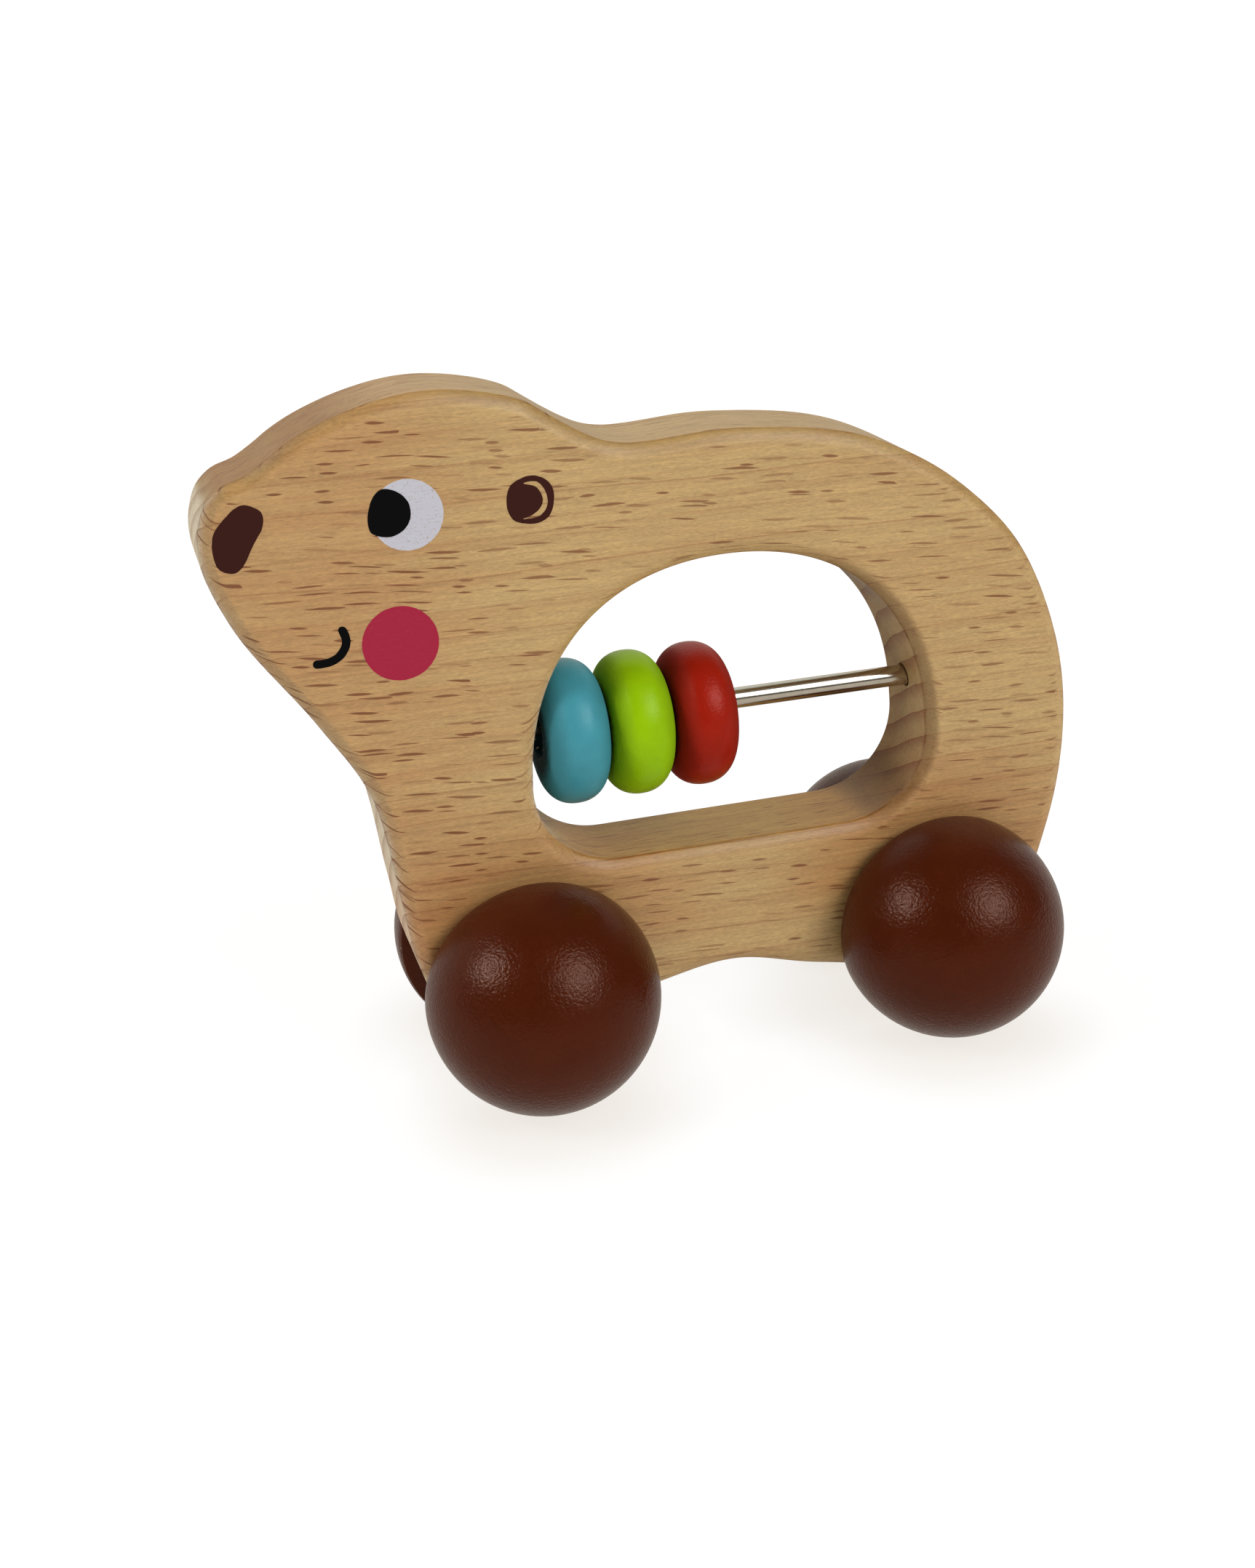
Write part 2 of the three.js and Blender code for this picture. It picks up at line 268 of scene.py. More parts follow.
# Face print, as (x, z) on the slab's side
EYE_CENTRE, EYE_RADIUS = (-36.3, 91.3), 5.0
CHEEK_CENTRE, CHEEK_RADIUS = (-38.7, 73.2), 5.4
PUPIL = [(-38.9, 95.2), (-37.4, 94.6), (-36.3, 93.5), (-35.8, 91.8), (-36.3, 90.0), (-37.5, 88.9),
         (-39.2, 88.5), (-41.4, 89.3), (-41.8, 91.1), (-41.5, 92.6), (-40.9, 94.1), (-39.9, 95.1)]
NOSE = [(-58.1, 95.1), (-55.9, 93.9), (-55.8, 92.1), (-57.4, 89.4), (-59.2, 86.5), (-60.4, 85.9),
        (-62.2, 86.7), (-62.8, 89.1), (-62.4, 91.6), (-61.0, 93.3), (-59.5, 94.6)]
EAR = [(-18.4, 94.9), (-16.8, 94.2), (-15.8, 92.9), (-15.7, 91.0), (-16.5, 88.9), (-18.1, 88.1),
       (-19.9, 88.2), (-21.5, 88.8), (-22.3, 90.2), (-22.4, 92.0), (-21.8, 93.7), (-20.3, 94.6)]
EAR_GLINT = [(-19.9, 93.9), (-18.1, 94.0), (-17.0, 92.8), (-16.6, 90.9), (-17.1, 89.7), (-18.1, 89.0),
             (-20.3, 88.9), (-18.7, 89.4), (-17.5, 90.5), (-17.3, 91.7), (-18.1, 93.2)]
MOUTH = [(-46.6, 76.1), (-46.2, 74.9), (-46.4, 73.7), (-47.3, 72.5), (-48.7, 71.8), (-50.5, 71.7)]
MOUTH_WIDTH = 1.2
FACE_STEP = 0.3
FACE_SIDES = 96  # of a round shape
CAP_STEPS = 7  # of a stroke's round end
PRINT_LIFT = 0.03
PRINT_SINK = 0.03
PRINT_WOBBLE = 0.12
PRINT_WAVES = 1.1  # of the wobble, per millimetre
PRINT_STEP = 0.15
PRINT_START = 50  # from the slab's middle plane, where a film starts on its way in
PRINT_WELD = 0.0005


# Node helpers

class Wire:
    """A node's output. Arithmetic with it adds math nodes to its tree."""

    def __init__(self, socket):
        self.socket = socket
        self.tree = socket.id_data

    def __add__(self, other):
        return calc("ADD", self, other)

    def __sub__(self, other):
        return calc("SUBTRACT", self, other)

    def __rsub__(self, other):
        return calc("SUBTRACT", other, self)

    def __mul__(self, other):
        return calc("MULTIPLY", self, other)

    def __truediv__(self, other):
        return calc("DIVIDE", self, other)

    def __rtruediv__(self, other):
        return calc("DIVIDE", other, self)

    def __abs__(self):
        return calc("ABSOLUTE", self)

    __radd__ = __add__


def fill(made, inputs):
    """Set a node's inputs, or link them where the value is a wire."""
    for name, value in inputs.items():
        if isinstance(value, Wire):
            value.tree.links.new(value.socket, made.inputs[name])
        else:
            made.inputs[name].default_value = value


def node(kind, inputs=None, tree=None, **settings):
    """A new node, in the given tree or in that of the wires it is given."""
    inputs = inputs or {}
    if tree is None:
        tree = next(value.tree for value in inputs.values() if isinstance(value, Wire))
    made = tree.nodes.new(kind)
    for name, value in settings.items():
        setattr(made, name, value)
    fill(made, inputs)
    return made


def wires(made, *names):
    return [Wire(made.outputs[name]) for name in names]


def wire(kind, inputs=None, output=0, tree=None, **settings):
    """One output of a new node."""
    return Wire(node(kind, inputs, tree, **settings).outputs[output])


def calc(operation, *values):
    return wire("ShaderNodeMath", dict(enumerate(values)), operation=operation)


def distance_of(first, second):
    """How far off a point is, by its offsets in two directions."""
    return calc("SQRT", first * first + second * second)


def step_up(value, low, high, bottom=0.0, top=1.0):
    """A smooth rise from bottom to top, as the value goes from low to high."""
    inputs = {"Value": value, "From Min": low, "From Max": high, "To Min": bottom, "To Max": top}
    return wire("ShaderNodeMapRange", inputs, interpolation_type="SMOOTHSTEP")


def step_down(value, low, high):
    return step_up(value, low, high, 1.0, 0.0)


def between(share, first, second):
    """From the first level to the second, as the share goes from 0 to 1."""
    return step_up(share, 0.0, 1.0, first, second)


def blend(share, first, second, how="MIX"):
    inputs = {0: share, 6: first, 7: second}
    return wire("ShaderNodeMix", inputs, 2, data_type="RGBA", blend_type=how)


def shaded(tint, level):
    """A colour, darkened or lightened to a level."""
    return blend(1.0, tint, joined(level, level, level), "MULTIPLY")


def parts(vector):
    return wires(node("ShaderNodeSeparateXYZ", {0: vector}), "X", "Y", "Z")


def joined(x=0.0, y=0.0, z=0.0):
    return wire("ShaderNodeCombineXYZ", {"X": x, "Y": y, "Z": z})


def stretched(vector, scale):
    """A place, drawn out along the axes so that a texture on it is long or short there."""
    return wire("ShaderNodeMapping", {"Vector": vector, "Scale": scale})


def noise(vector, scale=1.0, detail=2.0, roughness=0.5):
    inputs = {"Vector": vector, "Scale": scale, "Detail": detail, "Roughness": roughness}
    return wire("ShaderNodeTexNoise", inputs, "Fac")


def grain_noise(place, along, across, **form):
    return noise(stretched(place, (along, across, across)), **form)


def swing(level, depth):
    """A level of 0 to 1, as a swing about zero."""
    return (level - 0.5) * depth


def chances(tint):
    """Three random numbers, from a random colour."""
    return wires(node("ShaderNodeSeparateColor", {0: tint}), "Red", "Green", "Blue")


def new_group(kind, name, inputs, outputs):
    """A node group with named sockets, the wires it is given and its output node."""
    tree = bpy.data.node_groups.new(name, kind)
    for label, (socket, value) in inputs.items():
        made = tree.interface.new_socket(label, in_out="INPUT", socket_type="NodeSocket" + socket)
        if value is not None:
            made.default_value = value
    for label, socket in outputs.items():
        tree.interface.new_socket(label, in_out="OUTPUT", socket_type="NodeSocket" + socket)
    given = dict(zip(inputs, wires(tree.nodes.new("NodeGroupInput"), *inputs)))
    return tree, given, tree.nodes.new("NodeGroupOutput")


def tree_of(thing):
    """The node tree of a material, light or world, in use from here on."""
    thing.use_nodes = True
    return thing.node_tree


def use(group, inputs, *names):
    return wires(node("ShaderNodeGroup", inputs, node_tree=group), *names)


def colour(red, green, blue):
    """An sRGB colour of 0 to 255, as a shader's linear colour."""
    def linear(level):
        level = level / 255
        return level / 12.92 if level <= 0.04045 else ((level + 0.055) / 1.055) ** 2.4
    return linear(red), linear(green), linear(blue), 1.0


# Materials

def new_material(name, **surface):
    """A material, its shader and the place on its piece in millimetres."""
    material = bpy.data.materials.new(name)
    tree = tree_of(material)
    shader = tree.nodes["Principled BSDF"]
    fill(shader, {socket.replace("_", " "): value for socket, value in surface.items()})
    spot = wire("ShaderNodeTexCoord", output="Object", tree=tree)
    return material, shader, stretched(spot, (1 / MM, 1 / MM, 1 / MM))


def bump(shader, height, distance):
    """Relief, from a height in 0 to 1 and its depth in millimetres."""
    relief = {"Height": height, "Distance": distance * MM, "Strength": 1.0}
    fill(shader, {"Normal": wire("ShaderNodeBump", relief, "Normal")})


def growth_rings(place, radial, end_grain, sap):
    """How dark the rings are: a soft band into a thin line, and then the pale wood of the next year."""
    sway = swing(grain_noise(place, **RING_SWAY), RING_SWAY_DEPTH)
    ripple = swing(grain_noise(place, **RING_RIPPLE), RING_RIPPLE_DEPTH)
    years = (radial + sway + ripple) / RING_SPACING
    year = calc("FLOOR", years)
    season = years - year
    end_band = step_up(sap, 0.0, SAP_MOST, 1.0, SAP_BAND)
    band = step_up(season, *LATE_BAND) * between(end_grain, SIDE_BAND, end_band)
    dry = wire("ShaderNodeTexWhiteNoise", {"W": year}, "Value", noise_dimensions="1D")
    line = step_up(season, *LATE_LINE) * between(dry, *LATE_LINE_STRENGTH)
    return (band + line) * step_down(season, *YEAR_END)


def wood_rays(place, along, tangent, heart):
    """Plates along the grain and across the rings, so that a side shows their edges as short dashes."""
    cell_length, cell_width = RAY_CELL
    bend = swing(grain_noise(place, **RAY_BEND), RAY_BEND_DEPTH)
    across = tangent + along * RAY_LEAN + bend
    cell = joined(along / cell_length, across / cell_width)
    voronoi = node("ShaderNodeTexVoronoi", {"Vector": cell, "Scale": 1.0}, voronoi_dimensions="2D")
    middle, tint = wires(voronoi, "Position", "Color")
    offset = wire("ShaderNodeVectorMath", {0: cell, 1: middle}, operation="SUBTRACT")
    off_along, off_across, _ = parts(offset)
    for_length, for_width, for_depth = chances(tint)
    reach = abs(off_along * cell_length) / between(for_length, *RAY_HALF_LENGTH)
    half_width = between(for_width, *RAY_HALF_WIDTH) * (1.0 - reach * reach)
    inside = half_width - abs(off_across * cell_width)
    depth = (step_up(for_depth, RAY_FAINTEST, 1.0, 0.0, RAY_STRONGEST)
             * step_up(heart, HEART_LEAST, HEART_MOST, *RAY_IN_HEART))
    return step_up(inside, *RAY_BORDER) * depth


def make_beech_figure():
    """Growth rings, rays and fibres.

    Place and Facing have X along the grain, Y along the rings and Z across them.
    """
    inputs = {"Place": ("Vector", None), "Facing": ("Vector", None)}
    inputs |= {name: ("Color", colour(*level)) for name, level in BEECH_COLOURS.items()}
    inputs |= {"Heart": ("Float", 0.5), "Sap": ("Float", 0.0), "Crease": ("Float", 0.0)}
    outputs = {"Color": "Color", "Height": "Float", "End Grain": "Float"}
    tree, given, result = new_group("ShaderNodeTree", "beech figure", inputs, outputs)
    place, heart, sap = given["Place"], given["Heart"], given["Sap"]
    along, tangent, radial = parts(place)
    face_along, face_tangent, _ = parts(given["Facing"])
    face_along = abs(face_along)
    end_grain = step_up(face_along, *END_FACING)
    late = growth_rings(place, radial, end_grain, sap)

    # Rays are fainter on end grain, and gone where the surface runs along a plate
    ray = (wood_rays(place, along, tangent, heart)
           * step_down(abs(face_tangent), *RAY_PLATE_FACING)
           * step_up(face_along, *RAY_CORNER_FACING, 1.0, between(sap, *RAY_ON_CORNER))
           * step_up(face_along, *RAY_END_FACING, 1.0, RAY_ON_END))

    # Fibres and broad tone
    fibre = grain_noise(place, **FIBRE)
    pore = grain_noise(place, **PORE)
    tone = step_up(grain_noise(place, **TONE), *TONE_SPREAD, *TONE_BLUSH)
    ground = blend(heart + tone, given["Ground"], given["Blush"])
    ground = blend(end_grain * sap, ground, given["Sapwood"])
    streak = step_up(grain_noise(place, **STREAK), *STREAK_SPREAD, 0.0, STREAK_DARK)
    dark = late * LATE_DARK + streak + given["Crease"] * CREASE_DARK
    wood = blend(dark, ground, given["Late Wood"])
    shade = 1.0 + swing(fibre, FIBRE_SHADE) + swing(pore, PORE_SHADE)
    wood = shaded(wood, shade * between(end_grain, 1.0, END_SHADE))
    wood = blend(ray, wood, given["Ray"])
    height = fibre * FIBRE_RELIEF + pore * PORE_RELIEF + ray * RAY_RELIEF
    fill(result, {"Color": wood, "Height": height, "End Grain": end_grain})
    return tree


def make_lacquer_skin():
    """The slight unevenness of sprayed lacquer on turned wood: flow, stipple and a few specks of dust."""
    inputs = {
        "Place": ("Vector", None),
        "Paint": ("Color", None),
        "Satin": ("Float", 0.3),
        "Flow Size": ("Float", FLOW_SIZE),
        "Stipple Size": ("Float", STIPPLE_SIZE),
    }
    outputs = {"Color": "Color", "Roughness": "Float", "Height": "Float"}
    tree, given, result = new_group("ShaderNodeTree", "lacquer skin", inputs, outputs)
    place = given["Place"]
    flow = noise(place, 1.0 / given["Flow Size"])
    stipple = noise(place, 1.0 / given["Stipple Size"])
    shade = 1.0 + swing(noise(place, CLOUD_WAVES), CLOUD_SHADE) + swing(flow, FLOW_SHADE)
    speck = node("ShaderNodeTexVoronoi", {"Vector": place, "Scale": DUST_SPECKS})
    off_speck, tint = wires(speck, "Distance", "Color")
    speck_reach = step_up(chances(tint)[0], *DUST_CHANCE, 0.0, DUST_REACH)
    dust = step_up(speck_reach - off_speck, 0.0, DUST_BORDER)
    fill(result, {
        "Color": blend(dust * DUST_SHARE, shaded(given["Paint"], shade), colour(*DUST_COLOUR)),
        "Roughness": given["Satin"] + swing(flow, FLOW_SATIN),
        "Height": flow * FLOW_RELIEF + stipple * STIPPLE_RELIEF,
    })
    return tree


BEECH_FIGURE = make_beech_figure()
LACQUER_SKIN = make_lacquer_skin()


def slab_growth(place):
    """Where the slab has redder heartwood, pale sapwood and the sanded crease beside its rim."""
    x, y, _ = parts(place)
    off_crease = abs(abs(y) - (SLAB_HALF - EDGE_DEPTH))
    worn = step_up(noise(place, CREASE_WEAR), *CREASE_WEAR_SPREAD)
    return {
        "Heart": step_up(x, *HEART_REACH, HEART_MOST, HEART_LEAST),
        "Sap": step_up(x, *SAP_REACH, SAP_MOST, 0.0),
        "Crease": step_down(off_crease, *CREASE_REACH) * worn,
    }


def slab_painted_shade(place, facing, axles, wood):
    """The slab's wood, with painted shade on its window, rounded edges and snout rim, and warm painted
    shade by the wheels.
    """
    x, _, z = parts(place)
    face_x, face_y, face_z = parts(facing)
    off_rim = step_up(abs(face_y), *RIM_FACING)
    top_edge = step_up(face_z, *TOP_EDGE_FACING) * off_rim
    along_back = step_up(x, *BACK_START) * step_down(x, *BACK_END)
    by_wheels = 0.0
    for axle in axles:
        distance = distance_of(x - axle.x / MM, z - axle.z / MM)
        by_wheels = calc("MAXIMUM", by_wheels, step_down(distance, *WHEEL_SHADE_REACH))
    painted_tints = {
        WINDOW_FLOOR_SHADE_TINT: [step_up(face_z, *WINDOW_FLOOR_FACING), step_down(z, *WINDOW_FLOOR_LEVEL)],
        REAR_EDGE_SHADE_TINT: [step_down(face_x, *REAR_EDGE_FACING), step_up(face_x, *REAR_WALL_FACING),
                       step_up(x, *REAR_EDGE_REACH)],
        TOP_EDGE_SHADE_TINT: [top_edge],
        BACK_EDGE_SHADE_TINT: [top_edge, step_up(z, *BACK_LEVEL), along_back],
        FRONT_EDGE_SHADE_TINT: [step_down(face_x, *FRONT_FACING), off_rim, step_down(x, *FRONT_REACH)],
        BROW_SHADE_TINT: [step_up(face_z, *BROW_FACING), 1.0 - off_rim, step_down(x, *BROW_REACH)],
        WHEEL_SHADE_TINT: [by_wheels, step_up(z, *WHEEL_SHADE_LEVEL)],
    }
    for tint, masks in painted_tints.items():
        wood = blend(reduce(mul, masks), wood, tint, "MULTIPLY")
    return wood


def beech(name, turn, slab_axles=None):
    """Oiled beech. The turn lays the piece along the figure's axes.

    The slab is given by its axles, and has its own growth and painted shade.
    """
    material, shader, place = new_material(name, Specular_IOR_Level=BEECH_SPECULAR)
    facing = wire("ShaderNodeTexCoord", output="Normal", tree=place.tree)
    inputs = {}
    for label, vector, kind in (("Place", place, "POINT"), ("Facing", facing, "VECTOR")):
        inputs[label] = wire("ShaderNodeMapping", {"Vector": vector, "Rotation": turn}, vector_type=kind)
    if slab_axles:
        inputs |= slab_growth(place)
    wood, height, end_grain = use(BEECH_FIGURE, inputs, "Color", "Height", "End Grain")
    if slab_axles:
        wood = slab_painted_shade(place, facing, slab_axles, wood)
    rough = step_up(height, *BEECH_HEIGHT_SPREAD, *BEECH_SATIN) + end_grain * END_SATIN
    fill(shader, {"Base Color": wood, "Roughness": rough})
    bump(shader, height, BEECH_RELIEF)
    return material


def gleam_of(paint):
    """The tint of a lacquer's gleam, between white and the hue of its paint."""
    return [1 - GLEAM_HUE * (1 - level / max(paint)) for level in paint] + [1.0]


def bead_sides(place, middle, thickness, surface, rough):
    """A bead's lacquer, with painted shade and duller lacquer on the sides, and chipped round the bore."""
    x, y, z = parts(place)
    wave = swing(noise(place, **RAGGED), RAGGED_DEPTH)
    ragged = distance_of(y, z - middle.z / MM) + wave
    side = step_up(abs(x - middle.x / MM), *(share * thickness for share in BEAD_SIDE_SHADE))
    depth = step_up(ragged, *(BEAD_FLAT + reach for reach in SIDE_SHADE_FADE), *SIDE_SHADE_STRENGTH)
    surface = blend(side * depth, surface, colour(*SIDE_SHADE_COLOUR))
    torn = step_up(noise(place, **CHIP), *CHIP_SPREAD)
    chip = torn * step_down(ragged, *(BEAD_BORE + reach for reach in CHIP_REACH))
    return blend(chip, surface, colour(*CHIP_COLOUR)), rough + side * SIDE_SHADE_ROUGHNESS


def lacquer(name, paint, specular, satin, relief, bead=None):
    """Satin lacquer. A bead is given by its middle and its thickness."""
    gloss = {"Specular_IOR_Level": specular, "Specular_Tint": gleam_of(paint)}
    material, shader, place = new_material(name, **gloss)
    inputs = {"Place": place, "Paint": colour(*paint), "Satin": satin}
    surface, rough, height = use(LACQUER_SKIN, inputs, "Color", "Roughness", "Height")
    if bead:
        surface, rough = bead_sides(place, *bead, surface, rough)
    fill(shader, {"Base Color": surface, "Roughness": rough})
    bump(shader, height, relief)
    return material


def nickel(name):
    """Bright plated rod, with faint lines drawn along it."""
    material, shader, place = new_material(name, Metallic=1.0)
    dull, bright = NICKEL_TONES
    fill(shader, {
        "Base Color": blend(noise(place, NICKEL_HAZE), colour(*dull), colour(*bright)),
        "Roughness": step_up(grain_noise(place, **NICKEL_LINES), *NICKEL_SPREAD, *NICKEL_POLISH),
    })
    return material


def ink(name, tint, worn):
    """Screen-printed ink: slightly mottled, and thinner over the wood's fibres where it is worn."""
    material, shader, place = new_material(name, Specular_IOR_Level=INK_SPECULAR)
    mottle = noise(place, **INK_MOTTLE)
    fibre = grain_noise(place, **INK_FIBRE)
    thin = step_up(mottle + fibre * INK_FIBRE_SHARE, *INK_WEAR_SPREAD) * worn
    surface = shaded(tint, 1.0 + swing(mottle, INK_SHADE))
    fill(shader, {
        "Base Color": blend(thin, surface, colour(*INK_WORN_COLOUR)),
        "Roughness": step_up(mottle, *INK_MOTTLE_SPREAD, *INK_SATIN),
    })
    bump(shader, mottle, INK_RELIEF)
    return material


# Meshes

def new_mesh(name, points, edges=(), faces=()):
    """A mesh, from points in millimetres."""
    mesh = bpy.data.meshes.new(name)
    mesh.from_pydata([(x * MM, y * MM, z * MM) for x, y, z in points], edges, faces)
    return mesh


def new_object(name, mesh):
    made = bpy.data.objects.new(name, mesh)
    bpy.context.scene.collection.objects.link(made)
    return made


def settled(thing, mesh_name):
    """The object's evaluated shape as a plain mesh, with its modifiers gone."""
    depsgraph = bpy.context.evaluated_depsgraph_get()
    mesh = bpy.data.meshes.new_from_object(thing.evaluated_get(depsgraph), depsgraph=depsgraph)
    mesh.name = mesh_name
    thing.modifiers.clear()
    thing.data = mesh
    return thing


def socket_of(group, label):
    """A modifier's name for a group's input."""
    for item in group.interface.items_tree:
        if item.item_type == "SOCKET" and item.in_out == "INPUT" and item.name == label:
            return item.identifier
    raise KeyError(label)


def grown(name, mesh, group, values):
    """A piece grown by a Geometry Nodes group from a start mesh, as a plain mesh."""
    thing = new_object(name, mesh)
    modifier = thing.modifiers.new("grow", "NODES")
    modifier.node_group = group
    for label, value in values.items():
        modifier[socket_of(group, label)] = value
    thing.update_tag()
    bpy.context.view_layer.update()
    return settled(thing, name)


def finished(shape, weld, finish):
    """A group's shape, welded, shaded smooth, made real and given its material."""
    steps = {
        "MergeByDistance": {"Distance": weld * MM},
        "SetShadeSmooth": {},
        "RealizeInstances": {},
        "SetMaterial": {"Material": finish},
    }
    for kind, inputs in steps.items():
        shape = wire("GeometryNode" + kind, {"Geometry": shape} | inputs)
    return shape


def make_lathe():
    """Turns a profile about Z.

    The start mesh's vertices are the profile: X is the radius, Z the place along the axis.
    """
    inputs = {"Profile": ("Geometry", None), "Sides": ("Int", 64), "Finish": ("Material", None)}
    tree, given, result = new_group("GeometryNodeTree", "lathe", inputs, {"Piece": "Geometry"})
    profile, sides = given["Profile"], given["Sides"]
    rows = wire("GeometryNodeAttributeDomainSize", {"Geometry": profile}, "Point Count")
    grid = wire("GeometryNodeMeshGrid", {"Vertices X": sides + 1.0, "Vertices Y": rows}, "Mesh")
    index = wire("GeometryNodeInputIndex", tree=tree)
    turn = calc("FLOOR", index / rows) * math.tau / sides
    spot = wire("GeometryNodeSampleIndex", {
        "Geometry": profile,
        "Value": wire("GeometryNodeInputPosition", tree=tree),
        "Index": calc("MODULO", index, rows),
    }, data_type="FLOAT_VECTOR", domain="POINT")
    radius, _, along = parts(spot)
    place = joined(radius * calc("COSINE", turn), radius * calc("SINE", turn), along)
    shaped = wire("GeometryNodeSetPosition", {"Geometry": grid, "Position": place})
    fill(result, {"Piece": finished(shaped, LATHE_WELD, given["Finish"])})
    return tree


LATHE = make_lathe()


def turned(name, profile, sides, finish, axis, place):
    """A turned piece: (radius, along) in millimetres, about an axis through a place in metres."""
    start = new_mesh(name + "_profile", [(radius, 0, along) for radius, along in profile])
    piece = grown(name, start, LATHE, {"Sides": sides, "Finish": finish})
    piece.data.transform(Matrix.Translation(place) @ Z.rotation_difference(axis).to_matrix().to_4x4())
    piece.data.set_sharp_from_angle(angle=SHARP)
    return piece


def arc(centre, radius, start, end, steps):
    """Profile points on an arc, its angles in degrees from the radius direction."""
    points = []
    for step in range(steps + 1):
        angle = math.radians(start + (end - start) * step / steps)
        points.append((centre[0] + radius * math.cos(angle), centre[1] + radius * math.sin(angle)))
    return points


def ball_profile(axle_radius):
    """A ball cut flat on top, with a blind bore there for the axle."""
    rim = math.sqrt(BALL_RADIUS ** 2 - BALL_FLAT ** 2)
    last = math.degrees(math.asin((BALL_FLAT - BALL_FLAT_ROUND) / BALL_RADIUS))
    shell = arc((0, 0), BALL_RADIUS, -90, last, BALL_STEPS)
    shell[0] = (0, -BALL_RADIUS)
    corner = (rim - BALL_CORNER[0], BALL_FLAT - BALL_CORNER[1])
    bore = axle_radius + AXLE_FIT
    end = BALL_FLAT - AXLE_SEAT
    return shell + [corner, (rim - BALL_FLAT_ROUND, BALL_FLAT), (bore + SEAT_CHAMFER, BALL_FLAT),
                    (bore, BALL_FLAT - SEAT_CHAMFER), (bore, end), (0, end)]


def bead_profile(radius, half):
    """A full round bead with flat sides and a bore with a soft edge, closed on itself."""
    points = []
    for step in range(BEAD_STEPS + 1):
        angle = math.pi * (step / BEAD_STEPS - 0.5)
        out = max(math.cos(angle), 0.0) ** (2 / BEAD_FULLNESS)
        along = math.copysign(abs(math.sin(angle)) ** (2 / BEAD_FULLNESS), angle)
        points.append((BEAD_FLAT + (radius - BEAD_FLAT) * out, half * along))
    lip = BEAD_BORE + BEAD_BORE_ROUND
    points += arc((lip, half - BEAD_BORE_ROUND), BEAD_BORE_ROUND, 90, 180, BEAD_BORE_STEPS)
    points += arc((lip, BEAD_BORE_ROUND - half), BEAD_BORE_ROUND, 180, 270, BEAD_BORE_STEPS)
    return points + points[:1]


def pin_profile(radius, length):
    """A straight pin with chamfered ends, about its middle."""
    half = length / 2
    return [(0, -half), (radius - PIN_CHAMFER, -half), (radius, PIN_CHAMFER - half),
            (radius, half - PIN_CHAMFER), (radius - PIN_CHAMFER, half), (0, half)]


# Closed runs of points, as (x, z) in millimetres

def marked(points):
    """A closed run with marks added on its long straight stretches."""
    marks = []
    for here, after in zip(points, np.roll(points, -1, axis=0)):
        pieces = max(1, round(float(np.linalg.norm(after - here)) / LOOP_MARKS))
        marks += [here + (after - here) * k / pieces for k in range(pieces)]
    return np.array(marks)


def smooth_loop(points, step):
    """A smooth closed curve through points, sampled about every step. Long straight runs stay straight."""
    marks = marked(points)
    samples = []
    for i, here in enumerate(marks):
        before, after, last = (marks[(i + ahead) % len(marks)] for ahead in (-1, 1, 2))
        ends = ((before, here), (here, after), (after, last))
        first, second, third = (math.sqrt(np.linalg.norm(b - a)) for a, b in ends)
        leave = ((here - before) / first - (after - before) / (first + second)) * second + (after - here)
        arrive = ((last - after) / third - (last - here) / (second + third)) * second + (after - here)
        count = max(1, round(float(np.linalg.norm(after - here)) / step))
        for k in range(count):
            t = k / count
            samples.append(here * (2 * t ** 3 - 3 * t ** 2 + 1) + after * (3 * t ** 2 - 2 * t ** 3)
                           + leave * (t ** 3 - 2 * t ** 2 + t) + arrive * (t ** 3 - t ** 2))
    return np.array(samples)


def anticlockwise(points):
    after = np.roll(points, -1, axis=0)
    area = np.sum(points[:, 0] * after[:, 1] - after[:, 0] * points[:, 1])
    return points if area > 0 else points[::-1]


def left_of(directions):
    """Unit vectors to the left of directions."""
    along = directions / np.linalg.norm(directions, axis=1)[:, None]
    return np.stack([-along[:, 1], along[:, 0]], axis=1)


def left_normals(points):
    """Unit normals to the left of a closed run, which is inwards where it runs anticlockwise."""
    return left_of(np.roll(points, -1, axis=0) - np.roll(points, 1, axis=0))


def in_loop(point, loop):
    x, z = loop[:, 0], loop[:, 1]
    next_x, next_z = np.roll(x, -1), np.roll(z, -1)
    spans = (z > point[1]) != (next_z > point[1])
    slope = np.divide(next_x - x, next_z - z, out=np.zeros_like(x), where=spans)
    return np.count_nonzero(spans & (point[0] < x + slope * (point[1] - z))) % 2 == 1


def ring(centre, radius, sides):
    angles = np.arange(sides) * math.tau / sides
    return np.stack([centre[0] + radius * np.cos(angles), centre[1] + radius * np.sin(angles)], axis=1)


def rim_loops(body):
    """The slab's outline and window, read from the CAD edges along which the rim meets the rounded edge."""
    level = EDGE_DEPTH - SLAB_HALF
    neighbours = {}
    corners = [tuple(round(value / MM, 3) for value in vertex.co) for vertex in body.data.vertices]
    for polygon in body.data.polygons:
        on_level = [corners[i] for i in polygon.vertices if abs(corners[i][1] - level) < RIM_TOLERANCE]
        if len(on_level) == 2:
            first, second = ((corner[0], corner[2]) for corner in on_level)
            neighbours.setdefault(first, set()).add(second)
            neighbours.setdefault(second, set()).add(first)
    loops = []
    while neighbours:
        here = next(iter(neighbours))
        loop = []
        while here in neighbours:
            loop.append(here)
            beside = neighbours.pop(here)
            here = next((mark for mark in beside if mark in neighbours), None)
        loops.append(anticlockwise(np.array(loop)))
    loops.sort(key=len, reverse=True)
    return loops[0], loops[1]


# Slab

